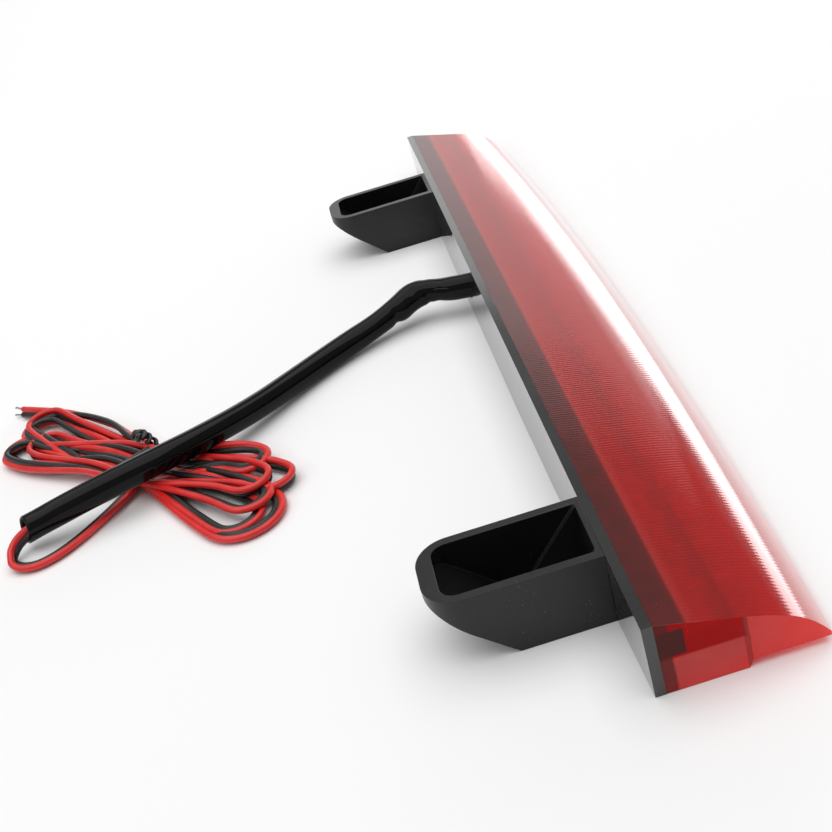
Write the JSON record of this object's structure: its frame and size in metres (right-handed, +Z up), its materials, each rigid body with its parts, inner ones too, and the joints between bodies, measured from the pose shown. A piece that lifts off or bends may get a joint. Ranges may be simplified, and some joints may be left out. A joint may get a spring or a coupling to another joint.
{
  "type": "third brake light",
  "caption": "Low, long high-level brake light: red wedge lens on a black housing with two hollow rear feet, a sleeved cable and a tied hank of two-core wire.",
  "frame": {"origin": "on the parting plane between lens and housing, at mid-length, on the surface the lamp stands on", "axes": "+X along the lamp, -Y towards the lens's thin front edge, +Y towards the feet and cable, +Z up"},
  "size_m": [0.36, 0.2211, 0.02],
  "materials": {
    "red_lens": "glossy moulded acrylic, fine inner ribs",
    "black_housing": "gloss black ABS",
    "seal_rubber": "soft black gasket",
    "black_foot": "satin black ABS",
    "screw_steel": "zinc-plated steel",
    "board_cream": "bare laminate above, green solder mask below",
    "led_red": "red diffused epoxy",
    "holder_black": "black moulded strip",
    "resistor_body": "lacquered resistor bodies",
    "diode_body": "black epoxy",
    "solder": "tin solder",
    "core_black": "black PVC insulation",
    "core_red": "red PVC insulation",
    "tie_nylon": "natural nylon",
    "sleeve_pvc": "gloss black PVC tubing",
    "twist_tie_black": "plastic-coated wire tie"
  },
  "bodies": {
    "root": {"lens": "red_lens", "rear_housing": "black_housing", "lens_seal": "seal_rubber", "left_foot": "black_foot", "right_foot": "black_foot", "foot_screws": "screw_steel", "circuit_board": "board_cream", "board_screws": "screw_steel", "leds": "led_red", "led_holder": "holder_black", "resistors": "resistor_body", "diode": "diode_body", "solder_joints": "solder", "black_core": "core_black", "red_core": "core_red", "strain_tie": "tie_nylon", "cable_sleeve": "sleeve_pvc", "wire_pair": "core_red", "wire_hank": "core_red", "twist_tie": "twist_tie_black"}
  },
  "joints": []
}
